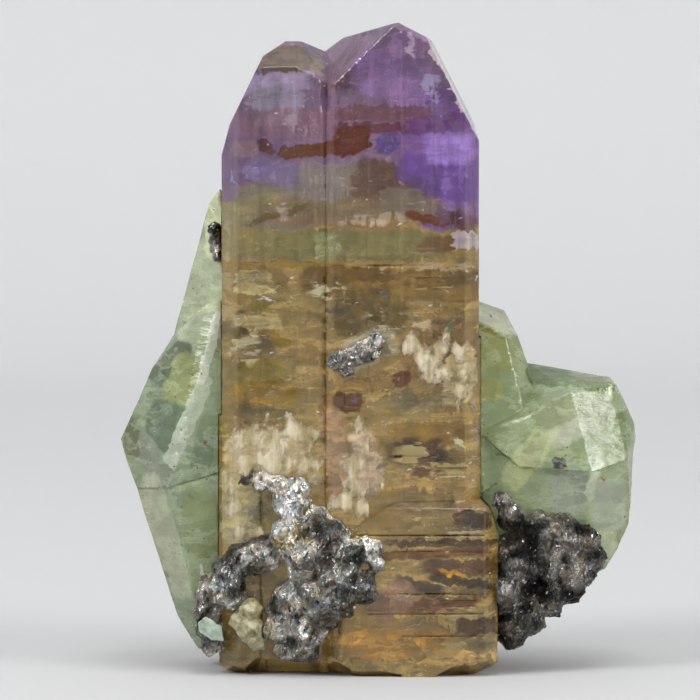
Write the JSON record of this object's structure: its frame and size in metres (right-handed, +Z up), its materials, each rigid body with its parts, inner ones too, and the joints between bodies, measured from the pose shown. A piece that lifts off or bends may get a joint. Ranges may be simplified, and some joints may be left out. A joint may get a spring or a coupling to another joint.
{
  "type": "tanzanite with diopside mineral specimen",
  "caption": "Thumbnail mineral specimen: violet to golden-brown tanzanite prisms standing on their broken foot, with green diopside behind and dark graphite at the foot.",
  "frame": {"origin": "middle of the bounding box at the level of the foot", "axes": "+Z up along the tanzanite prisms, +X to the right seen from the front, front towards -Y"},
  "size_m": [0.021, 0.0098, 0.0259],
  "materials": {
    "tanzanite": "clear to cloudy crystal, violet at the top, olive and golden brown below, vitreous lustre, fine upright striations",
    "diopside": "pale to mid green translucent crystal with milky veils, vitreous lustre",
    "diopside_mint": "pale mint translucent crystal chip",
    "graphite": "dark grey, crumpled foil-like surface with metallic lustre",
    "crust": "thin cream crust, frosted",
    "crumb": "cream and olive crumbly mineral"
  },
  "bodies": {
    "root": {"tanzanite": "tanzanite", "diopside_left": "diopside", "diopside_right": "diopside", "graphite_front": "graphite", "graphite_right": "graphite", "graphite_patch": "graphite", "graphite_flake": "graphite", "diopside_chip": "diopside_mint", "crumb": "crumb", "crust_left": "crust", "crust_middle": "crust", "crust_right": "crust"}
  },
  "joints": []
}
